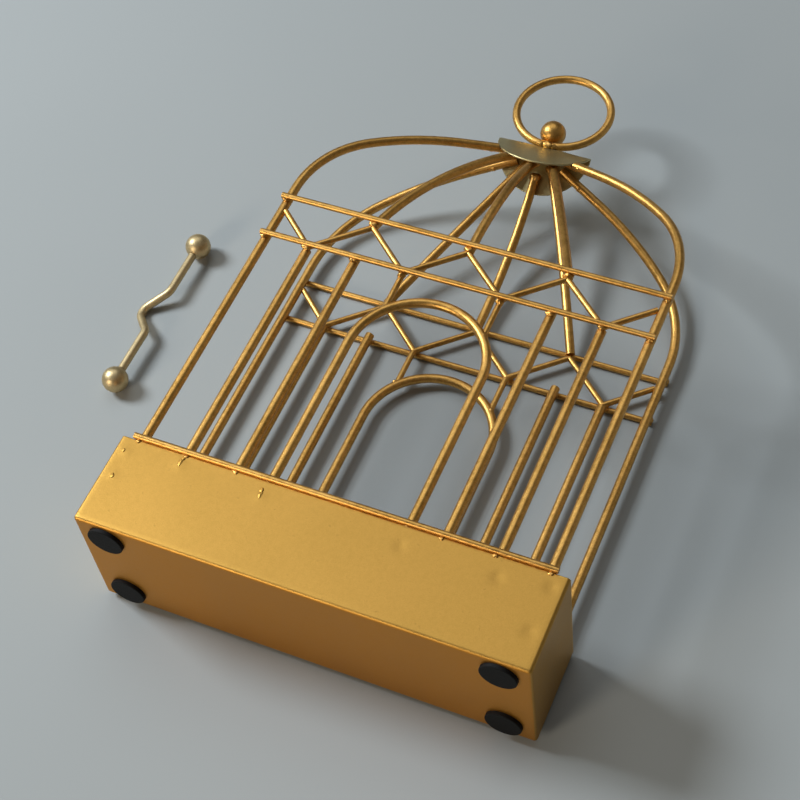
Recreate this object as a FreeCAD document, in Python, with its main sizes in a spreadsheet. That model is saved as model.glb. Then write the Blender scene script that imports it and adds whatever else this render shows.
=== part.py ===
import FreeCAD, Part
import math
import os
import Sketcher

os.makedirs("parts", exist_ok=True)
doc = FreeCAD.newDocument("wire_birdcage")
Vector = FreeCAD.Vector

# driving dimensions, in millimetres and degrees
dimensions = {
    "tray_length": 200.0,
    "tray_depth": 62.0,
    "tray_height": 43.0,
    "tray_sheet": 0.8,
    "tray_fold": 1.5,
    "thick_wire": 4.3,
    "thin_wire": 2.8,
    "panel_width": 187.0,
    "rail_overhang": 1.0,
    "lower_rail": 164.0,
    "upper_rail": 187.0,
    "bar_seat": 20.0,
    "arch_radius": 31.0,
    "arch_gap": 11.0,
    "rib_spring": 195.0,
    "shoulder_radius": 56.0,
    "shoulder_turn": 50.0,
    "crown_radius": 150.0,
    "crown_turn": 18.0,
    "outer_rib_end": 12.0,
    "bowed_rib_radius": 186.0,
    "side_rib_radius": 1500.0,
    "side_rib_end": 7.0,
    "side_rib_top": 271.5,
    "middle_rib_end": 5.5,
    "middle_rib_top": 264.8,
    "cap_radius": 23.4,
    "cap_sheet": 1.0,
    "cap_slope": 61.0,
    "cap_apex": 279.0,
    "ring_diameter": 50.5,
    "ring_wire": 4.0,
    "finial_diameter": 12.6,
    "foot_diameter": 16.0,
    "foot_thickness": 1.8,
    "foot_edge": 0.5,
    "foot_reach": 86.5,
    "foot_spread": 21.0,
    "bar_ball": 12.6,
    "bar_rod": 4.0,
    "bar_span": 86.8,
    "bar_dip": 10.5,
    "bar_dip_half": 15.0,
    "bar_bend": 5.5,
    "bar_beside": 150.5,
    "bar_along": 143.8,
}

sheet = doc.addObject("Spreadsheet::Sheet", "Sizes")
for row, (alias, value) in enumerate(dimensions.items(), start=1):
    sheet.set(f"A{row}", alias)
    sheet.set(f"B{row}", str(value))
    sheet.setAlias(f"B{row}", alias)
doc.recompute()


def size(alias):
    return float(sheet.get(alias))


def cell(text):
    words = text.split()
    return " ".join("Sizes." + word if word in dimensions else word for word in words)


# places that follow from the driving dimensions
bar_depth = "( tray_depth / 2 - tray_sheet - thick_wire / 2 )"
rail_depth = "( tray_depth / 2 - tray_sheet + thin_wire / 2 )"
zigzag_depth = "( tray_depth / 2 - tray_sheet - thin_wire / 2 )"
upright_reach = "( panel_width / 2 - thick_wire / 2 )"
bay = "( panel_width / 8 )"
middle_height = "( tray_depth / 2 - tray_sheet + thin_wire )"
bar_tilt = "asin( ( bar_ball - bar_rod ) / 2 / bar_dip )"
bar_left = f"( bar_beside + bar_dip * cos( {bar_tilt} ) + bar_rod / 2 )"
cage_shift = f"( ( {bar_left} - tray_length / 2 ) / 2 )"
crown_end = "( cap_apex + cap_sheet + ring_diameter )"
base_shift = f"( ( foot_thickness - {crown_end} ) / 2 )"

depth_of_bars = size("tray_depth") / 2 - size("tray_sheet") - size("thick_wire") / 2
reach_of_uprights = size("panel_width") / 2 - size("thick_wire") / 2
bay_width = size("panel_width") / 8


def put(item, x="0", y="0", z="0"):
    item.setExpression("Placement.Base.x", cell(f"{cage_shift} + {x}"))
    item.setExpression("Placement.Base.y", cell(f"{base_shift} + {y}"))
    item.setExpression("Placement.Base.z", cell(f"{middle_height} + {z}"))


def turn(item, axis, angle):
    item.Placement = FreeCAD.Placement(Vector(0, 0, 0), FreeCAD.Rotation(Vector(*axis), 1))
    item.setExpression("Placement.Rotation.Angle", cell(angle))


def new_body(label):
    body = doc.addObject("PartDesign::Body", label)
    body.Label = label
    return body


def sketch_on(body, name, role):
    sketch = body.newObject("Sketcher::SketchObject", name)
    plane = [item for item in body.Origin.OriginFeatures if item.Role == role][0]
    sketch.AttachmentSupport = [(plane, "")]
    sketch.MapMode = "FlatFace"
    return sketch


def bind(sketch, kind, *where, to):
    index = sketch.addConstraint(Sketcher.Constraint(kind, *where))
    sketch.setExpression(f"Constraints[{index}]", cell(to))


def pin(sketch, geometry, point, x, y):
    place = sketch.getPoint(geometry, point)
    bind(sketch, "DistanceX", -1, 1, geometry, point, place.x, to=x)
    bind(sketch, "DistanceY", -1, 1, geometry, point, place.y, to=y)


def line(sketch, start, end):
    return sketch.addGeometry(Part.LineSegment(Vector(*start, 0), Vector(*end, 0)))


def arc(sketch, centre, radius, first, last):
    circle = Part.Circle(Vector(*centre, 0), Vector(0, 0, 1), radius)
    return sketch.addGeometry(Part.ArcOfCircle(circle, math.radians(first), math.radians(last)))


def follow(sketch, geometry, point, other, other_point):
    sketch.addConstraint(Sketcher.Constraint("Tangent", geometry, point, other, other_point))


def wire(body, path, diameter):
    profile = body.newObject("Sketcher::SketchObject", body.Label + "_section")
    profile.AttachmentSupport = [(path, "Edge1")]
    profile.MapMode = "NormalToEdge"
    radius = size(diameter) / 2
    section = profile.addGeometry(Part.Circle(Vector(0, 0, 0), Vector(0, 0, 1), radius))
    profile.addConstraint(Sketcher.Constraint("Coincident", section, 3, -1, 1))
    bind(profile, "Diameter", section, 2 * radius, to=diameter)
    pipe = body.newObject("PartDesign::AdditivePipe", body.Label + "_wire")
    pipe.Profile = profile
    pipe.Spine = path
    pipe.Transition = "Round corner"
    return pipe


def rod(label, diameter, length, axis, angle, **place):
    item = doc.addObject("Part::Cylinder", label)
    item.Label = label
    item.setExpression("Radius", cell(f"{diameter} / 2"))
    item.setExpression("Height", cell(length))
    turn(item, axis, angle)
    put(item, **place)
    return item


# folded sheet tray, open towards the cage: a block with rounded folds, hollowed by a smaller one
def folded_block(label, length, depth, height, fold):
    body = new_body(label)
    outline = sketch_on(body, label + "_outline", "XZ_Plane")
    wide = size("tray_length") / 2
    deep = size("tray_depth") / 2
    places = [(-wide, -deep), (wide, -deep), (wide, deep), (-wide, deep)]
    for first, last in zip(places, places[1:] + places[:1]):
        line(outline, first, last)
    for side in range(4):
        outline.addConstraint(Sketcher.Constraint("Coincident", side, 2, (side + 1) % 4, 1))
    for side in (0, 2):
        outline.addConstraint(Sketcher.Constraint("Horizontal", side))
        outline.addConstraint(Sketcher.Constraint("Vertical", side + 1))
    pin(outline, 0, 1, f"-1 * {length} / 2", f"-1 * {depth} / 2")
    pin(outline, 2, 1, f"{length} / 2", f"{depth} / 2")
    block = body.newObject("PartDesign::Pad", label + "_block")
    block.Profile = outline
    block.setExpression("Length", cell(height))
    block.Reversed = True
    doc.recompute()
    names = []
    for number, edge in enumerate(block.Shape.Edges, start=1):
        if min(vertex.Point.y for vertex in edge.Vertexes) < 0.01:
            names.append(f"Edge{number}")
    folds = body.newObject("PartDesign::Fillet", label + "_folds")
    folds.Base = (block, names)
    folds.setExpression("Radius", cell(fold))
    return body


outside = folded_block("tray_outside", "tray_length", "tray_depth", "tray_height", "tray_fold")
put(outside)
inner_length = "( tray_length - 2 * tray_sheet )"
inner_depth = "( tray_depth - 2 * tray_sheet )"
inside = folded_block("tray_inside", inner_length, inner_depth, "tray_height", "tray_fold - tray_sheet")
put(inside, y="tray_sheet")
tray = doc.addObject("Part::Cut", "base_tray")
tray.Label = "base_tray"
tray.Base = outside
tray.Tool = inside
parts = [tray]

# rubber disc feet on the tray's underside
for name, x_side, z_side in (
    ("front_left_foot", -1, 1),
    ("front_right_foot", 1, 1),
    ("rear_left_foot", -1, -1),
    ("rear_right_foot", 1, -1),
):
    foot = new_body(name)
    disc = sketch_on(foot, name + "_outline", "XZ_Plane")
    rim = disc.addGeometry(Part.Circle(Vector(0, 0, 0), Vector(0, 0, 1), size("foot_diameter") / 2))
    disc.addConstraint(Sketcher.Constraint("Coincident", rim, 3, -1, 1))
    bind(disc, "Diameter", rim, size("foot_diameter"), to="foot_diameter")
    pad = foot.newObject("PartDesign::Pad", name + "_disc")
    pad.Profile = disc
    pad.setExpression("Length", cell("foot_thickness"))
    doc.recompute()
    low = min(range(len(pad.Shape.Edges)), key=lambda n: pad.Shape.Edges[n].CenterOfMass.y)
    edge = foot.newObject("PartDesign::Fillet", name + "_edge")
    edge.Base = (pad, [f"Edge{low + 1}"])
    edge.setExpression("Radius", cell("foot_edge"))
    put(foot, x=f"{x_side} * foot_reach", z=f"{z_side} * foot_spread")
    parts.append(foot)

# half of the disc that the crown cap is bent from, sloping down from the ridge
def half_disc(name, face, thickness):
    half = doc.addObject("Part::Cylinder", name)
    half.setExpression("Radius", cell("cap_radius"))
    half.setExpression("Height", cell(thickness))
    half.Angle = 180
    tilt = FreeCAD.Rotation(Vector(1, 0, 0), -90 + face * size("cap_slope"))
    around = FreeCAD.Rotation(Vector(0, 0, 1), 180 if face > 0 else 0)
    half.Placement = FreeCAD.Placement(Vector(0, 0, 0), tilt.multiply(around))
    put(half, y="cap_apex")
    return half


# the space that each half of the cap closes off from the wires under it
roofs = {
    "front": half_disc("front_roof_space", 1, "cap_radius"),
    "rear": half_disc("rear_roof_space", -1, "cap_radius"),
}


def trim_under_cap(label, body):
    piece = doc.addObject("Part::Cut", label)
    piece.Label = label
    piece.Base = body
    piece.Tool = roofs[label.split("_")[0]]
    parts.append(piece)


# upright that bends over at the shoulder and runs in to the crown, in a plane through the cage's axis
def upright(label, angle):
    body = new_body(label + "_bend")
    path = sketch_on(body, label + "_path", "XY_Plane")
    radius = math.hypot(reach_of_uprights, depth_of_bars)
    spring = size("rib_spring")
    foot = size("tray_height") - size("bar_seat")
    first = size("shoulder_turn")
    second = first + size("crown_turn")
    small = size("shoulder_radius")
    large = size("crown_radius")
    leg = line(path, (radius, foot), (radius, spring))
    shoulder = arc(path, (radius - small, spring), small, 0, first)
    bend_x = radius - small + small * math.cos(math.radians(first))
    bend_y = spring + small * math.sin(math.radians(first))
    middle_x = bend_x - large * math.cos(math.radians(first))
    middle_y = bend_y - large * math.sin(math.radians(first))
    crown = arc(path, (middle_x, middle_y), large, first, second)
    end_x = middle_x + large * math.cos(math.radians(second))
    end_y = middle_y + large * math.sin(math.radians(second))
    run = end_x - size("outer_rib_end")
    rise = run / math.tan(math.radians(second))
    tail = line(path, (end_x, end_y), (end_x - run, end_y + rise))
    follow(path, leg, 2, shoulder, 1)
    follow(path, shoulder, 2, crown, 1)
    follow(path, crown, 2, tail, 1)
    reach = f"sqrt( {upright_reach} ^ 2 + {bar_depth} ^ 2 )"
    pin(path, leg, 1, reach, "tray_height - bar_seat")
    pin(path, leg, 2, reach, "rib_spring")
    bind(path, "Radius", shoulder, small, to="shoulder_radius")
    bind(path, "Radius", crown, large, to="crown_radius")
    bind(path, "Angle", shoulder, math.radians(first), to="shoulder_turn * 1 deg")
    bind(path, "Angle", crown, math.radians(second - first), to="crown_turn * 1 deg")
    bind(path, "DistanceX", -1, 1, tail, 2, size("outer_rib_end"), to="outer_rib_end")
    wire(body, path, "thick_wire")
    turn(body, (0, 1, 0), angle)
    put(body)
    trim_under_cap(label, body)


# rib from the frieze to the crown, either side of the middle: the front left one is bowed out
def side_rib(label, angle, curve):
    body = new_body(label + "_bend")
    path = sketch_on(body, label + "_path", "XY_Plane")
    start = (math.hypot(2 * bay_width, depth_of_bars), size("upper_rail") - size("thin_wire") / 2)
    end = (size("side_rib_end"), size("side_rib_top"))
    radius = size(curve)
    half = math.hypot(end[0] - start[0], end[1] - start[1]) / 2
    lean = math.atan2(end[1] - start[1], end[0] - start[0])
    back = math.sqrt(radius ** 2 - half ** 2)
    centre_x = (start[0] + end[0]) / 2 - back * math.sin(lean)
    centre_y = (start[1] + end[1]) / 2 + back * math.cos(lean)
    first = math.degrees(math.atan2(start[1] - centre_y, start[0] - centre_x))
    last = math.degrees(math.atan2(end[1] - centre_y, end[0] - centre_x))
    bend = arc(path, (centre_x, centre_y), radius, first, last)
    reach = f"sqrt( ( 2 * {bay} ) ^ 2 + {bar_depth} ^ 2 )"
    pin(path, bend, 1, reach, "upper_rail - thin_wire / 2")
    pin(path, bend, 2, "side_rib_end", "side_rib_top")
    bind(path, "Radius", bend, radius, to=curve)
    wire(body, path, "thick_wire")
    turn(body, (0, 1, 0), angle)
    put(body)
    trim_under_cap(label, body)


# middle rib, upright at the frieze and bending in towards the crown
def middle_rib(label, angle):
    body = new_body(label + "_bend")
    path = sketch_on(body, label + "_path", "XY_Plane")
    start = (depth_of_bars, size("upper_rail") - size("thin_wire") / 2)
    end = (size("middle_rib_end"), size("middle_rib_top"))
    across = start[0] - end[0]
    up = end[1] - start[1]
    radius = (across ** 2 + up ** 2) / (2 * across)
    last = math.degrees(math.asin(up / radius))
    bend = arc(path, (start[0] - radius, start[1]), radius, 0, last)
    pin(path, bend, 1, bar_depth, "upper_rail - thin_wire / 2")
    pin(path, bend, 2, "middle_rib_end", "middle_rib_top")
    path.addConstraint(Sketcher.Constraint("Horizontal", bend, 1, bend, 3))
    wire(body, path, "thick_wire")
    turn(body, (0, 1, 0), angle)
    put(body)
    trim_under_cap(label, body)


def arch(label, depth):
    body = new_body(label)
    path = sketch_on(body, label + "_path", "XY_Plane")
    radius = size("arch_radius")
    spring = size("lower_rail") - size("arch_gap") - radius
    foot = size("tray_height") - size("bar_seat")
    right = line(path, (radius, foot), (radius, spring))
    bow = arc(path, (0, spring), radius, 0, 180)
    left = line(path, (-radius, spring), (-radius, foot))
    follow(path, right, 2, bow, 1)
    follow(path, bow, 2, left, 1)
    pin(path, right, 1, "arch_radius", "tray_height - bar_seat")
    pin(path, right, 2, "arch_radius", "lower_rail - arch_gap - arch_radius")
    pin(path, left, 2, "-1 * arch_radius", "tray_height - bar_seat")
    path.addConstraint(Sketcher.Constraint("Vertical", left))
    wire(body, path, "thick_wire")
    put(body, z=depth)
    parts.append(body)
    return body


# frieze wire bent up and down between the lower and upper rails
def zigzag(label, depth):
    body = new_body(label)
    path = sketch_on(body, label + "_path", "XY_Plane")
    low = size("lower_rail")
    high = size("upper_rail") - size("thin_wire")
    last_run = bay_width - size("thick_wire")
    tip = low + (high - low) * last_run / bay_width
    end = reach_of_uprights - size("thick_wire") / 2
    spots = [(-end, tip)]
    for step in range(-3, 4):
        spots.append((step * bay_width, low if step % 2 else high))
    spots.append((end, tip))
    for number in range(8):
        line(path, spots[number], spots[number + 1])
    for number in range(7):
        path.addConstraint(Sketcher.Constraint("Coincident", number, 2, number + 1, 1))
    top = "upper_rail - thin_wire"
    tip_height = f"lower_rail + ( {top} - lower_rail ) * ( {bay} - thick_wire ) / {bay}"
    tip_reach = f"( {upright_reach} - thick_wire / 2 )"
    pin(path, 0, 1, f"-1 * {tip_reach}", tip_height)
    for step in range(-3, 4):
        pin(path, step + 3, 2, f"{step} * {bay}", "lower_rail" if step % 2 else top)
    pin(path, 7, 2, tip_reach, tip_height)
    wire(body, path, "thin_wire")
    put(body, z=depth)
    parts.append(body)


along_y = ((1, 0, 0), "-90 * 1 deg")
along_x = ((0, 1, 0), "90 * 1 deg")
outer_angle = f"atan2( {bar_depth} ; {upright_reach} )"
side_angle = f"atan2( {bar_depth} ; 2 * {bay} )"

# the two panels of the cage: front on the upper side as it lies, rear on the surface
for panel, face in (("front", 1), ("rear", -1)):
    bars = f"{face} * {bar_depth}"
    rails = f"{face} * {rail_depth}"
    width = "panel_width"
    long = "( panel_width + 2 * rail_overhang )"
    parts.append(rod(f"{panel}_bottom_rail", "thin_wire", long, *along_x,
                     x=f"-1 * {long} / 2", y="tray_height + thin_wire / 2", z=rails))
    for rail in ("lower", "upper"):
        parts.append(rod(f"{panel}_{rail}_rail", "thin_wire", width, *along_x,
                         x="-1 * panel_width / 2", y=f"{rail}_rail", z=rails))
    zigzag(f"{panel}_zigzag", f"{face} * {zigzag_depth}")
    for name, step in (("left_outer", -3), ("left_inner", -2), ("right_inner", 2), ("right_outer", 3)):
        ending = "lower_rail - thin_wire / 2" if step % 2 else "lower_rail + thin_wire / 2"
        parts.append(rod(f"{panel}_{name}_bar", "thick_wire", f"{ending} - tray_height + bar_seat", *along_y,
                         x=f"{step} * {bay}", y="tray_height - bar_seat", z=bars))
    bow = arch(f"{panel}_arch", bars)
    for name, step in (("left", -1), ("right", 1)):
        foot_height = f"( lower_rail - arch_gap - arch_radius + sqrt( arch_radius ^ 2 - {bay} ^ 2 ) )"
        length = f"lower_rail - thin_wire / 2 - {foot_height}"
        whole = rod(f"{panel}_{name}_strut_rod", "thin_wire", length, *along_y,
                    x=f"{step} * {bay}", y=foot_height, z=bars)
        strut = doc.addObject("Part::Cut", f"{panel}_{name}_arch_strut")
        strut.Label = f"{panel}_{name}_arch_strut"
        strut.Base = whole
        strut.Tool = bow
        parts.append(strut)
    upright(f"{panel}_right_upright", f"{-face} * {outer_angle}")
    upright(f"{panel}_left_upright", f"{-face} * ( 180 deg - {outer_angle} )")
    side_rib(f"{panel}_right_rib", f"{-face} * {side_angle}", "side_rib_radius")
    curve = "bowed_rib_radius" if face > 0 else "side_rib_radius"
    side_rib(f"{panel}_left_rib", f"{-face} * ( 180 deg - {side_angle} )", curve)
    middle_rib(f"{panel}_middle_rib", f"{-face} * 90 * 1 deg")

# crown cap: a thin disc bent along a diameter, both halves sloping down
halves = [half_disc("cap_front_half", 1, "cap_sheet"), half_disc("cap_rear_half", -1, "cap_sheet")]
bend = doc.addObject("Part::Cylinder", "cap_bend")
bend.setExpression("Radius", cell("cap_sheet"))
bend.setExpression("Height", cell("2 * cap_radius"))
bend.setExpression("Angle", cell("2 * cap_slope * 1 deg"))
first = FreeCAD.Rotation(Vector(0, 1, 0), 90)
spin = FreeCAD.Rotation(Vector(1, 0, 0), 90 - size("cap_slope"))
bend.Placement = FreeCAD.Placement(Vector(0, 0, 0), spin.multiply(first))
put(bend, x="-1 * cap_radius", y="cap_apex")
cap = doc.addObject("Part::MultiFuse", "crown_cap")
cap.Label = "crown_cap"
cap.Shapes = halves + [bend]
cap.Refine = True
parts.append(cap)

# ring standing on the cap's ridge, and the ball inside it
ring = doc.addObject("Part::Torus", "hanging_ring")
ring.Label = "hanging_ring"
ring.setExpression("Radius1", cell("( ring_diameter - ring_wire ) / 2"))
ring.setExpression("Radius2", cell("ring_wire / 2"))
put(ring, y="cap_apex + cap_sheet + ring_diameter / 2")
parts.append(ring)
ball = doc.addObject("Part::Sphere", "finial_ball")
ball.Label = "finial_ball"
ball.setExpression("Radius", cell("finial_diameter / 2"))
put(ball, y="cap_apex + cap_sheet + ring_wire + finial_diameter / 2")
parts.append(ball)

# loose bar with a dip, lying beside the cage on its two balls and the dip
hook = new_body("hang_bar_rod")
path = sketch_on(hook, "hang_bar_path", "XY_Plane")
radius = size("bar_bend")
dip = size("bar_dip")
wide = size("bar_dip_half")
end = size("bar_span") / 2 - size("bar_ball") / 2
upper = line(path, (0, end), (0, wide))
lean = math.degrees(math.atan2(dip, wide)) + 12
turn_x = -radius + radius * math.cos(math.radians(lean))
turn_y = wide - radius * math.sin(math.radians(lean))
tip_x = -dip + radius - radius * math.cos(math.radians(lean))
tip_y = radius * math.sin(math.radians(lean))
upper_bend = arc(path, (-radius, wide), radius, -lean, 0)
upper_leg = line(path, (turn_x, turn_y), (tip_x, tip_y))
tip = arc(path, (-dip + radius, 0), radius, 180 - lean, 180 + lean)
lower_leg = line(path, (tip_x, -tip_y), (turn_x, -turn_y))
lower_bend = arc(path, (-radius, -wide), radius, 0, lean)
lower = line(path, (0, -wide), (0, -end))
follow(path, upper, 2, upper_bend, 2)
follow(path, upper_bend, 1, upper_leg, 1)
follow(path, upper_leg, 2, tip, 1)
follow(path, tip, 2, lower_leg, 1)
follow(path, lower_leg, 2, lower_bend, 2)
follow(path, lower_bend, 1, lower, 1)
pin(path, upper, 1, "0", "bar_span / 2 - bar_ball / 2")
pin(path, upper, 2, "0", "bar_dip_half")
pin(path, lower, 1, "0", "-1 * bar_dip_half")
pin(path, lower, 2, "0", "bar_ball / 2 - bar_span / 2")
pin(path, tip, 3, "bar_bend - bar_dip", "0")
for bow in (upper_bend, tip, lower_bend):
    bind(path, "Radius", bow, radius, to="bar_bend")
wire(hook, path, "bar_rod")
turn(hook, (0, 1, 0), f"-1 * {bar_tilt}")
beside = {"x": "-1 * bar_beside", "z": f"bar_ball / 2 - {middle_height}"}
put(hook, y="bar_along", **beside)
parts.append(hook)
for name, side in (("near", -1), ("far", 1)):
    knob = doc.addObject("Part::Sphere", f"hang_bar_{name}_ball")
    knob.Label = f"hang_bar_{name}_ball"
    knob.setExpression("Radius", cell("bar_ball / 2"))
    put(knob, y=f"bar_along + {side} * bar_span / 2", **beside)
    parts.append(knob)

doc.recompute()
for item in doc.Objects:
    if "Invalid" in item.State or "Error" in item.State:
        raise RuntimeError(f"{item.Label} did not build: {item.State}")
for piece in parts:
    if piece.Shape.isNull() or not piece.Shape.isValid():
        raise RuntimeError(f"{piece.Label} has no valid shape")
    if len(piece.Shape.Solids) != 1:
        raise RuntimeError(f"{piece.Label} has {len(piece.Shape.Solids)} solids")
for piece in parts:
    piece.Shape.exportStep(f"parts/{piece.Label}.step")
    box = piece.Shape.BoundBox
    low = [round(value, 2) for value in (box.XMin, box.YMin, box.ZMin)]
    high = [round(value, 2) for value in (box.XMax, box.YMax, box.ZMax)]
    print(piece.Label, round(piece.Shape.Volume, 1), low, high)
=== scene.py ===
import math

import bmesh
import bpy
from mathutils import Matrix, Vector, noise


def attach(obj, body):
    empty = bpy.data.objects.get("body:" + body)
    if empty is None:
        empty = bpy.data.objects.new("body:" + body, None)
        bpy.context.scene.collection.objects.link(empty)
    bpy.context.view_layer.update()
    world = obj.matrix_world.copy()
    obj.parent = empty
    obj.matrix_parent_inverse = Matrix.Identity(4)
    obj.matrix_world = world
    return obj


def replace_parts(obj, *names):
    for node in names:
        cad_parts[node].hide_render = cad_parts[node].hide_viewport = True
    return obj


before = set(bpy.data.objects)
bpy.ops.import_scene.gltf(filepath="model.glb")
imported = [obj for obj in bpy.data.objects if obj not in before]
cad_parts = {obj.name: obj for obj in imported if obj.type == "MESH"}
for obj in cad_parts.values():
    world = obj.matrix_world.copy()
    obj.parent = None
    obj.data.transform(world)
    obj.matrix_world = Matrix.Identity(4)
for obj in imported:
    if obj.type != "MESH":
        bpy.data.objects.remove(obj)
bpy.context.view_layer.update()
print("loaded", len(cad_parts), "pieces")

mm = 0.001
cage = {"middleX": 31.04, "underside": -164.35, "middleZ": 33.0}  # where the cage lies, in mm


def place(across, depth, height):
    # across the front, out through the front panel, and up the cage from under the tray
    return Vector((across + cage["middleX"], height + cage["underside"], depth + cage["middleZ"])) * mm


class Channel:
    def __init__(self, tree, socket=None):
        self.tree = tree
        self.socket = socket

    def node(self, kind, settings=None, inputs=None, output=0):
        made = self.tree.nodes.new(kind)
        for key, value in (settings or {}).items():
            setattr(made, key, value)
        for key, value in (inputs or {}).items():
            if isinstance(value, Channel):
                self.tree.links.new(value.socket, made.inputs[key])
            else:
                made.inputs[key].default_value = value
        return Channel(self.tree, made.outputs[output])

    def math(self, operation, first, second):
        return self.node("ShaderNodeMath", {"operation": operation}, {0: first, 1: second})

    def __add__(self, other):
        return self.math("ADD", self, other)

    def __sub__(self, other):
        return self.math("SUBTRACT", self, other)

    def __rsub__(self, other):
        return self.math("SUBTRACT", other, self)

    def __mul__(self, other):
        return self.math("MULTIPLY", self, other)

    __radd__ = __add__
    __rmul__ = __mul__

    def noise(self, scale, detail=2.0, rough=0.5):
        sockets = {"Vector": self.spot(), "Scale": scale, "Detail": detail, "Roughness": rough}
        return self.node("ShaderNodeTexNoise", {}, sockets)

    def spot(self):
        return self.node("ShaderNodeTexCoord", output="Object")

    def clip(self, low, high):
        return self.node("ShaderNodeMapRange", {"interpolation_type": "SMOOTHSTEP"},
                         {"Value": self, "From Min": low, "From Max": high})

    def blend(self, first, second):
        return self.node("ShaderNodeMix", {"data_type": "RGBA"}, {0: self, 6: first, 7: second}, 2)


def newFinish(name):
    material = bpy.data.materials.new(name)
    material.use_nodes = True
    shader = material.node_tree.nodes["Principled BSDF"]
    return material, shader, Channel(material.node_tree)


def feed(shader, name, channel):
    channel.tree.links.new(channel.socket, shader.inputs[name])


def bumpy(shader, height, strength, distance):
    sockets = {"Strength": strength, "Distance": distance, "Height": height}
    feed(shader, "Normal", height.node("ShaderNodeBump", {}, sockets))


wirePaint = {"deep": (0.40, 0.198, 0.038, 1), "bright": (0.84, 0.480, 0.134, 1),
             "dirtAndShade": (0.14, 0.060, 0.010, 1),
             "metallic": 0.97, "shine": 0.36, "lacquer": 0.05, "tooth": 0.38}
sheetPaint = {"deep": (0.45, 0.248, 0.052, 1), "bright": (0.55, 0.306, 0.069, 1),
              # the dirt colour also paints shade in the hollows, and the worn colour also paints a
              # highlight on the edges
              "dirtAndShade": (0.20, 0.105, 0.020, 1), "wornAndHighlight": (0.84, 0.54, 0.12, 1),
              "metallic": 1.0, "shine": 0.45, "lacquer": 0.0, "tooth": 0.22,
              # the underside's painted shade: its redder colour, how much of it, and where it fades out
              # above the underside
              "under": (0.70, 0.262, 0.020, 1), "underShare": 0.55, "underFade": (0.10, 0.45)}
# the cap's copy of the gold paint is tinted grey-olive, a painted reflection of a grey sky; its dirt
# colour also paints shade in the hollows and its worn colour a highlight on the edges
capPaintedReflection = {"deep": (0.40, 0.330, 0.160, 1), "bright": (0.57, 0.475, 0.236, 1),
            "dirtAndShade": (0.15, 0.105, 0.040, 1), "wornAndHighlight": (0.84, 0.60, 0.22, 1),
            "metallic": 0.95, "shine": 0.38, "lacquer": 0.04, "tooth": 0.25}
barPaint = {"deep": (0.45, 0.338, 0.172, 1), "bright": (0.71, 0.545, 0.292, 1),
            "dirtAndShade": (0.16, 0.108, 0.050, 1),
            "metallic": 0.90, "shine": 0.43, "lacquer": 0.05, "tooth": 0.30}
coat = {"cloudScale": 26.0, "mottleScale": 420.0, "grainScale": 2600.0,
        "cloudShare": 0.25, "mottleShare": 0.35, "grainShare": 0.4, "dirtShare": 0.35,
        # the corner share sets the painted shade in the hollows; the edge share sets the wear and painted
        # highlight on the edges
        "hollowShade": 0.6, "edgeWearAndHighlight": 0.5, "lacquerRough": 0.36, "relief": 0.0003,
        "shineFrom": -0.06, "cloudShine": 0.05, "mottleShine": 0.12}


def paintFinish(name, look):
    material, shader, start = newFinish(name)
    cloudy = start.noise(coat["cloudScale"], 3.0).clip(0.35, 0.68)
    mottle = start.noise(coat["mottleScale"], 4.0, 0.6)
    grain = start.noise(coat["grainScale"], 2.0)
    speck = mottle.clip(0.3, 0.7) * coat["mottleShare"] + grain.clip(0.3, 0.7) * coat["grainShare"]
    body = (cloudy * coat["cloudShare"] + speck).blend(look["deep"], look["bright"])
    body = (mottle.clip(0.60, 0.78) * coat["dirtShare"]).blend(body, look["dirtAndShade"])
    if "wornAndHighlight" in look:  # painted shade in the hollows, and bare-metal wear with a painted highlight on the edges
        edge = start.node("ShaderNodeNewGeometry", output="Pointiness")
        # painted shade: the colour darkens towards the dirt colour in the hollows and creases
        body = ((1 - edge.clip(0.40, 0.48)) * coat["hollowShade"]).blend(body, look["dirtAndShade"])
        # edge wear and painted highlight: the colour lightens along the convex edges and folds
        rubbedAndHighlit = edge.clip(0.53, 0.60) * mottle.clip(0.30, 0.60)
        body = (rubbedAndHighlit * coat["edgeWearAndHighlight"]).blend(body, look["wornAndHighlight"])
    if "under" in look:  # painted shade: the underside, turned away from the lamps, is tinted to the redder colour the gold takes in its shade
        along = start.node("ShaderNodeSeparateXYZ", {}, {0: start.spot()}, 1)
        low, high = [(cage["underside"] + rise) * mm for rise in look["underFade"]]
        body = ((1 - along.clip(low, high)) * look["underShare"]).blend(body, look["under"])
    feed(shader, "Base Color", body)
    duller = cloudy * coat["cloudShine"] + mottle * coat["mottleShine"]
    feed(shader, "Roughness", look["shine"] + coat["shineFrom"] + duller)
    shader.inputs["Metallic"].default_value = look["metallic"]
    shader.inputs["Coat Weight"].default_value = look["lacquer"]
    shader.inputs["Coat Roughness"].default_value = coat["lacquerRough"]
    bumpy(shader, mottle * 0.5 + grain * 0.5, look["tooth"], coat["relief"])
    return material


rubber = {"colour": (0.003, 0.003, 0.003, 1), "dust": (0.010, 0.010, 0.010, 1),
          "mottleScale": 700.0, "pitScale": 1500.0, "dustShare": 0.5, "edgeShare": 0.3,
          "rough": 0.60, "mottleRough": 0.2, "tooth": 0.3, "relief": 0.0004, "sheen": 0.2}


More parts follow.
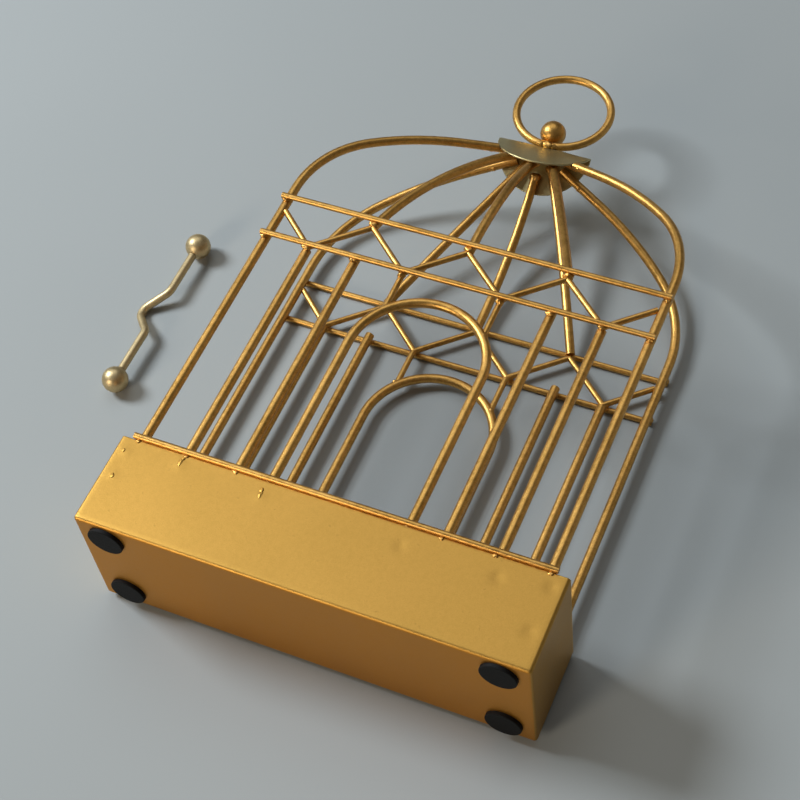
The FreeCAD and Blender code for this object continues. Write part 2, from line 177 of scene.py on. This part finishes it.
def rubberFinish(name):
    material, shader, start = newFinish(name)
    mottle = start.noise(rubber["mottleScale"], 4.0, 0.65)
    edge = start.node("ShaderNodeNewGeometry", output="Pointiness")
    dusty = mottle.clip(0.5, 0.75) * rubber["dustShare"] + edge.clip(0.52, 0.6) * rubber["edgeShare"]
    feed(shader, "Base Color", dusty.blend(rubber["colour"], rubber["dust"]))
    feed(shader, "Roughness", rubber["rough"] + mottle * rubber["mottleRough"])
    shader.inputs["Specular IOR Level"].default_value = rubber["sheen"]
    bumpy(shader, start.noise(rubber["pitScale"], 3.0), rubber["tooth"], rubber["relief"])
    return material


gold = paintFinish("gold_wire_paint", wirePaint)
sheetGold = paintFinish("gold_sheet_paint", sheetPaint)
capGoldPaintedReflection = paintFinish("gold_cap_paint_with_painted_reflection", capPaintedReflection)
paleGold = paintFinish("pale_gold_paint", barPaint)
blackRubber = rubberFinish("black_rubber")
for name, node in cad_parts.items():
    if name.endswith("_foot"):
        finish = blackRubber
    elif name.startswith("hang_bar"):
        finish = paleGold
    elif name == "base_tray":
        finish = sheetGold
    elif name == "crown_cap":
        finish = capGoldPaintedReflection
    else:
        finish = gold
    node.data.materials.clear()
    node.data.materials.append(finish)
print("paint on every piece")


def keep(name, bm, finish, body):
    mesh = bpy.data.meshes.new(name)
    bm.normal_update()
    bm.to_mesh(mesh)
    bm.free()
    mesh.polygons.foreach_set("use_smooth", [True] * len(mesh.polygons))
    piece = bpy.data.objects.new(name, mesh)
    bpy.context.collection.objects.link(piece)
    mesh.materials.append(finish)
    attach(piece, body)
    return piece


tray = {"length": 200.0, "depth": 62.0, "height": 43.0, "sheet": 0.8, "fold": 1.5, "lip": 0.15,
        "step": 1.6, "bends": 6, "wave": 0.07, "waveScale": 0.022, "ease": 4.0, "margin": 8.0,
        "dents": [(-70.1, 38.2, 0.20, 2.2), (-31.5, 35.4, 0.18, 2.0), (31.8, 33.7, -0.34, 1.9),
                  (73.0, 33.5, -0.44, 2.2), (94.0, 36.6, -0.42, 2.0), (93.0, 16.0, -0.38, 2.2),
                  (-95.0, 36.0, 0.20, 1.7), (-94.0, 23.7, 0.18, 1.8)]}  # across, height, rise, width


def trayPoint(x, y, level):
    # walls and underside wave a little, and the front wall carries its dents
    wall = abs(y) > tray["depth"] / 2 - 1.0
    lift = 0.0
    if y > 0:
        for dentX, dentHeight, rise, wide in tray["dents"]:
            away = math.hypot(x - dentX, level - dentHeight) / wide
            lift += rise * math.exp(-away * away)
    underRim = min(1.0, max(0.0, (tray["height"] - level) / tray["ease"]))
    ease = underRim * min(1.0, level / tray["ease"])  # straight at the rim and the fold
    ripple = noise.noise(Vector((x, y, level)) * tray["waveScale"]) * tray["wave"]
    if wall:
        y += (ripple * ease + lift) * (1 if y > 0 else -1)
    elif level < 1.0:
        fromEdge = min(tray["depth"] / 2 - abs(y), tray["length"] / 2 - abs(x))
        inward = min(1.0, fromEdge / tray["margin"])
        level += abs(ripple) * max(inward - 0.2, 0.0)
    return place(x, y, level)


def trayRing(inset, corner, count):
    # a rounded rectangle as one loop of points round the tray
    halfX = tray["length"] / 2 - inset
    halfY = tray["depth"] / 2 - inset
    points = []
    for turn, (signX, signY) in enumerate(((1, 1), (-1, 1), (-1, -1), (1, -1))):
        for step in range(count["corner"] + 1):
            angle = math.radians(90 * turn + 90 * step / count["corner"])
            points.append((signX * (halfX - corner) + corner * math.cos(angle),
                           signY * (halfY - corner) + corner * math.sin(angle)))
        nextX, nextY = ((-1, 1), (-1, -1), (1, -1), (1, 1))[turn]
        angle = math.radians(90 * (turn + 1))
        endX = nextX * (halfX - corner) + corner * math.cos(angle)
        endY = nextY * (halfY - corner) + corner * math.sin(angle)
        fromX, fromY = points[-1]
        cuts = count["long"] if turn % 2 == 0 else count["short"]
        for cut in range(1, cuts):
            share = cut / cuts
            points.append((fromX + (endX - fromX) * share, fromY + (endY - fromY) * share))
    return points


def trayShell():
    bends = tray["bends"]
    count = {"corner": bends, "long": round(tray["length"] / tray["step"]),
             "short": round(tray["depth"] / tray["step"])}
    fold = tray["fold"]
    sheet = tray["sheet"]
    height = tray["height"]
    lip = tray["lip"]
    inner = fold - sheet
    walls = round((height - fold) / tray["step"])
    wallRise = height - 5 * lip - fold
    rings = []  # inset, corner radius and level of the outer fold, wall, rim, inside wall and inner fold
    for step in range(bends + 1):
        angle = math.radians(90 * step / bends)
        rings.append((fold * (1 - math.sin(angle)), fold * math.sin(angle), fold * (1 - math.cos(angle))))
    for step in range(1, walls + 1):
        rings.append((0.0, fold, fold + wallRise * step / walls))
    rings.append((0.0, fold, height - 3 * lip))
    rings.append((0.0, fold, height - lip))
    rings.append((lip, fold - lip, height))
    rings.append((sheet - lip, inner + lip, height))
    rings.append((sheet, inner, height - lip))
    rings.append((sheet, inner, height - 3 * lip))
    for step in range(walls, -1, -1):
        rings.append((sheet, inner, fold + wallRise * step / walls))
    for step in range(bends - 1, -1, -1):
        angle = math.radians(90 * step / bends)
        rings.append((sheet + inner * (1 - math.sin(angle)), inner * math.sin(angle),
                      sheet + inner * (1 - math.cos(angle))))
    bm = bmesh.new()
    loops = []
    for inset, corner, level in rings:
        loop = []
        for x, y in trayRing(inset, corner, count):
            loop.append(bm.verts.new(trayPoint(x, y, level)))
        loops.append(loop)
    for low, high in zip(loops, loops[1:]):
        for i in range(len(low)):
            j = (i + 1) % len(low)
            bm.faces.new((low[i], low[j], high[j], high[i]))
    for level in (0.0, sheet):  # underside and floor, as plain grids
        rows = []
        for k in range(count["short"] + 1):
            y = (tray["depth"] / 2 - fold) * (2 * k / count["short"] - 1)
            row = []
            for i in range(count["long"] + 1):
                x = (tray["length"] / 2 - fold) * (2 * i / count["long"] - 1)
                row.append(bm.verts.new(trayPoint(x, y, level)))
            rows.append(row)
        for near, far in zip(rows, rows[1:]):
            for i in range(count["long"]):
                bm.faces.new((near[i], near[i + 1], far[i + 1], far[i]))
    bmesh.ops.remove_doubles(bm, verts=bm.verts, dist=0.00002)
    bmesh.ops.dissolve_degenerate(bm, edges=bm.edges, dist=0.00001)
    bmesh.ops.recalc_face_normals(bm, faces=bm.faces)
    return bm


trayPiece = keep("tray_shell", trayShell(), sheetGold, "cage")
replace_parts(trayPiece, "base_tray")
print("tray folded")

cap = {"radius": 23.4, "sheet": 1.0, "slope": 61.0, "apex": 279.5, "bend": 1.1, "edge": 0.38,
       "rings": (0.6, 1.4, 2.4, 3.8, 5.6, 7.6, 9.8, 12.0, 14.4, 16.8, 19.0, 21.0, 22.3),
       "rim": 4, "round": 72, "wave": 0.14, "waveScale": 0.09}


def capPoint(x, across, lift):
    # a point of the bent disc, lifted off the middle of its sheet
    slope = math.radians(cap["slope"])
    side = 1 if across >= 0 else -1
    along = abs(across)
    bend = cap["bend"]
    turn = min(along / bend, slope)
    rest = max(along - bend * slope, 0.0)
    depth = bend * math.sin(turn) + rest * math.cos(slope)
    height = -bend * (1 - math.cos(turn)) - rest * math.sin(slope)
    ripple = cap["wave"] * noise.noise(Vector((x, across, 3.0)) * cap["waveScale"])
    depth += (lift + ripple) * math.sin(turn)
    height += (lift + ripple) * math.cos(turn)
    return place(x, side * depth, cap["apex"] + height)


def bentCap():
    half = cap["sheet"] / 2
    edge = cap["edge"]  # how far in the rim's rounding starts
    profile = []
    rings = [*cap["rings"], cap["radius"] - edge]
    for radius in rings:
        profile.append((radius, half))
    for step in range(1, cap["rim"] * 2):
        angle = math.radians(90 - 90 * step / cap["rim"])
        profile.append((cap["radius"] - edge + edge * math.cos(angle), half * math.sin(angle)))
    for radius in reversed(rings):
        profile.append((radius, -half))
    bm = bmesh.new()
    loops = []
    for radius, lift in profile:
        loop = []
        for step in range(cap["round"]):
            angle = 2 * math.pi * step / cap["round"]
            loop.append(bm.verts.new(capPoint(radius * math.cos(angle), radius * math.sin(angle), lift)))
        loops.append(loop)
    for low, high in zip(loops, loops[1:]):
        for i in range(cap["round"]):
            j = (i + 1) % cap["round"]
            bm.faces.new((low[i], low[j], high[j], high[i]))
    for loop, lift in ((loops[0], half), (loops[-1], -half)):
        hub = bm.verts.new(capPoint(0.0, 0.0, lift))
        for i in range(cap["round"]):
            bm.faces.new((hub, loop[i], loop[(i + 1) % cap["round"]]))
    bmesh.ops.recalc_face_normals(bm, faces=bm.faces)
    return bm


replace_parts(keep("bent_cap", bentCap(), capGoldPaintedReflection, "cage"), "crown_cap")
print("cap bent")

weld = {"rough": 0.34, "lumps": 1.6, "drift": (7.3, 3.1, 5.7)}


def bead(bm, spot, size, seed):
    # a lumpy drop, with its own lumps for each seed
    made = bmesh.ops.create_icosphere(bm, subdivisions=3, radius=1.0)
    drift = Vector(weld["drift"]) * seed
    for vert in made["verts"]:
        lump = 1 + weld["rough"] * noise.noise(vert.co * weld["lumps"] + drift)
        vert.co = vert.co * Vector(size) * lump * mm + spot


groove = {"thick": 0.46, "uneven": 0.3, "reach": 93.0, "cuts": 240, "round": 8,
          "depth": 30.4, "height": 43.2}


def seam(bm, side):
    # paint and solder that fill the groove between the bottom rail and the tray's rim
    loops = []
    for step in range(groove["cuts"] + 1):
        across = groove["reach"] * (2 * step / groove["cuts"] - 1)
        lump = groove["uneven"] * noise.noise(Vector((across * 0.25, side * 9.0, 2.0)))
        thick = groove["thick"] * (1 + lump)
        if step in (0, groove["cuts"]):
            thick *= 0.3
        loop = []
        for turn in range(groove["round"]):
            angle = 2 * math.pi * turn / groove["round"]
            depth = side * (groove["depth"] + thick * math.cos(angle))
            loop.append(bm.verts.new(place(across, depth, groove["height"] + thick * math.sin(angle))))
        loops.append(loop)
    for low, high in zip(loops, loops[1:]):
        for i in range(groove["round"]):
            j = (i + 1) % groove["round"]
            bm.faces.new((low[i], low[j], high[j], high[i]))
    bm.faces.new(loops[0])
    bm.faces.new(loops[-1])
    bmesh.ops.recalc_face_normals(bm, faces=bm.faces)


# where wires meet, in mm, and the size of each kind of bead: across, up the cage and out
joint = {"bay": 23.375, "touch": 30.2, "endInset": 1.6, "archFoot": 31.0, "rim": 31.0,
         "railEnds": (44.4, 164.0, 187.0), "bottom": 43.8, "lower": 163.4, "strutFoot": 162.6,
         "strutTop": 142.8, "rimDrop": 42.5, "zigzagTop": 185.2, "zigzagFoot": 164.9,
         "endBead": (2.0, 2.1, 1.4), "barBead": (2.3, 2.1, 1.5), "rimBead": (2.3, 1.5, 1.2),
         "strutBead": (1.9, 1.6, 1.9), "archBead": (2.0, 1.6, 2.0), "drop": (1.1, 0.9, 0.5),
         "zigzagBead": (2.6, 1.5, 1.7)}


def panelBeads(side):
    bay = joint["bay"]
    touch = joint["touch"] * side  # where the rails lie on the bars
    spots = []
    for step in (-4, 4):
        end = step * bay - math.copysign(joint["endInset"], step)
        for height in joint["railEnds"]:
            spots.append((end, touch, height, joint["endBead"]))
    for step in (-3, -2, 2, 3):
        spots.append((step * bay, touch, joint["lower"], joint["barBead"]))
        spots.append((step * bay, touch, joint["bottom"], joint["rimBead"]))
    for step in (-1, 1):
        spots.append((step * bay, touch - 1.4 * side, joint["strutFoot"], joint["strutBead"]))
        spots.append((step * bay + 0.4 * step, touch - 2.2 * side, joint["strutTop"], joint["archBead"]))
        spots.append((step * joint["archFoot"], touch, joint["bottom"], joint["rimBead"]))
    for step in (-4, -3, -2, 2, 3, 4):  # drops that ran over the rim under the bars
        spots.append((step * bay - 0.4 * step, joint["rim"] * side, joint["rimDrop"], joint["drop"]))
    for step in (-2, 0, 2):
        spots.append((step * bay, touch - 0.5 * side, joint["zigzagTop"], joint["zigzagBead"]))
    for step in (-3, -1, 1, 3):
        spots.append((step * bay, touch - 0.5 * side, joint["zigzagFoot"], joint["zigzagBead"]))
    bm = bmesh.new()
    for seed, (across, depth, height, size) in enumerate(spots):
        bead(bm, place(across, depth, height), size, seed + 40 * side)
    seam(bm, side)
    return bm


# under the ball: across, width and thickness; then the places where wires meet the cap
crown = {"ballFoot": ((-2.9, 2.3, 1.5), (0.3, 2.9, 2.0), (2.9, 1.9, 1.4)), "ballHeight": 280.9,
         "upright": (22.4, 6.9, 265.9), "uprightBead": (1.9, 1.6, 1.6),
         "rib": (5.9, 3.5, 270.9), "ribBead": (2.5, 2.3, 2.0),
         "middle": (0.0, 5.4, 264.9), "middleBead": (2.8, 2.4, 2.3)}


def crownBeads():
    bm = bmesh.new()
    for seed, (across, wide, thick) in enumerate(crown["ballFoot"]):
        for side in (-1, 1):
            spot = place(across + 0.5 * side, 1.4 * side, crown["ballHeight"])
            bead(bm, spot, (wide, thick, thick), seed + 94 + 3 * side)
    for side in (-1, 1):
        for reach in (-1, 1):
            corner = side + 2 * reach
            across, depth, height = crown["upright"]
            bead(bm, place(across * reach, depth * side, height), crown["uprightBead"], 110 + corner)
            across, depth, height = crown["rib"]
            bead(bm, place(across * reach, depth * side, height), crown["ribBead"], 120 + corner)
        across, depth, height = crown["middle"]
        bead(bm, place(across, depth * side, height), crown["middleBead"], 130 + side)
    return bm


drip = {"spots": ((-70.0, 39.2, 2.6), (-69.6, 41.2, 1.3), (-31.4, 36.2, 2.2), (-31.8, 38.3, 1.3),
                  (-95.6, 36.2, 1.1), (-94.2, 23.6, 1.3)),  # across, height and length
        "depth": 30.95, "wide": 0.85, "thick": 0.42}


def wallBeads():
    # weld drips that come through the tray's front wall under the rail
    bm = bmesh.new()
    for seed, (across, height, tall) in enumerate(drip["spots"]):
        bead(bm, place(across, drip["depth"], height), (drip["wide"], tall, drip["thick"]), seed + 60)
    return bm


for panel, side in (("front", 1), ("rear", -1)):
    keep(f"{panel}_weld_beads", panelBeads(side), gold, "cage")
keep("crown_weld_beads", crownBeads(), gold, "cage")
keep("wall_weld_beads", wallBeads(), sheetGold, "cage")
print("beads on the joints")

floorLook = {"dark": (0.35, 0.366, 0.356, 1), "light": (0.39, 0.406, 0.396, 1), "cloudScale": 3.0,
             "rough": 0.9, "size": 40.0, "drop": 0.0002}


def layFloor():
    material, shader, start = newFinish("floor")
    shade = start.noise(floorLook["cloudScale"], 2.0)
    feed(shader, "Base Color", shade.blend(floorLook["dark"], floorLook["light"]))
    shader.inputs["Roughness"].default_value = floorLook["rough"]
    bm = bmesh.new()
    bmesh.ops.create_grid(bm, x_segments=2, y_segments=2, size=floorLook["size"] / 2)
    mesh = bpy.data.meshes.new("floor")
    bm.to_mesh(mesh)
    bm.free()
    mesh.materials.append(material)
    floor = bpy.data.objects.new("floor", mesh)
    floor.location.z = -floorLook["drop"]
    bpy.context.collection.objects.link(floor)


layFloor()

studio = {"key": {"toward": (-0.76, 0.01, 0.68), "far": 2.2, "size": 0.75, "power": 45.5,
                  "tint": (0.905, 1, 1.10)},
          "top": {"toward": (-0.25, 0.55, 1.0), "spread": 42.0, "power": 0.55,
                  "tint": (0.94, 1, 1.04)},
          "front": {"toward": (-0.38, -0.85, 0.32), "far": 2.0, "size": 0.6, "power": 14.0,
                    "tint": (1, 0.88, 0.72)},
          "back": {"toward": (0.81, 0.50, 0.30), "far": 1.4, "size": 1.0, "power": 0.5,
                   "tint": (1, 0.92, 0.80)},
          "air": (1.0, 0.96, 0.90), "airStrength": 0.10, "tone": "Standard"}


def hangLight(name, look):
    toward = Vector(look["toward"]).normalized()
    if "spread" in look:  # an even sky of light, without falloff
        lamp = bpy.data.lights.new(name, "SUN")
        lamp.angle = math.radians(look["spread"])
        holder = bpy.data.objects.new(name, lamp)
    else:
        lamp = bpy.data.lights.new(name, "AREA")
        lamp.shape = "DISK"
        lamp.size = look["size"]
        holder = bpy.data.objects.new(name, lamp)
        holder.location = toward * look["far"]
    lamp.energy = look["power"]
    lamp.color = look["tint"]
    holder.rotation_euler = toward.to_track_quat("Z", "Y").to_euler()
    bpy.context.collection.objects.link(holder)


for name in ("key", "top", "front", "back"):
    hangLight(name, studio[name])
world = bpy.data.worlds.new("studio")
world.use_nodes = True
air = world.node_tree.nodes["Background"]
air.inputs["Color"].default_value = (*studio["air"], 1)
air.inputs["Strength"].default_value = studio["airStrength"]
bpy.context.scene.world = world
bpy.context.scene.view_settings.view_transform = studio["tone"]

lens = {"place": (0.25194, -0.42805, 0.64760), "right": (0.9141, 0.3941, -0.0954),
        "up": (-0.2712, 0.7692, 0.5786), "back": (0.3014, -0.5030, 0.8100),
        "focal": 77.43, "sensor": 36.0, "nearest": 0.01}
camera = bpy.data.objects.new("camera", bpy.data.cameras.new("camera"))
camera.data.lens = lens["focal"]
camera.data.sensor_width = lens["sensor"]
camera.data.clip_start = lens["nearest"]
frameAxes = Matrix((lens["right"], lens["up"], lens["back"])).transposed().to_4x4()
camera.matrix_world = Matrix.Translation(lens["place"]) @ frameAxes
bpy.context.collection.objects.link(camera)
bpy.context.scene.camera = camera
print("camera set")
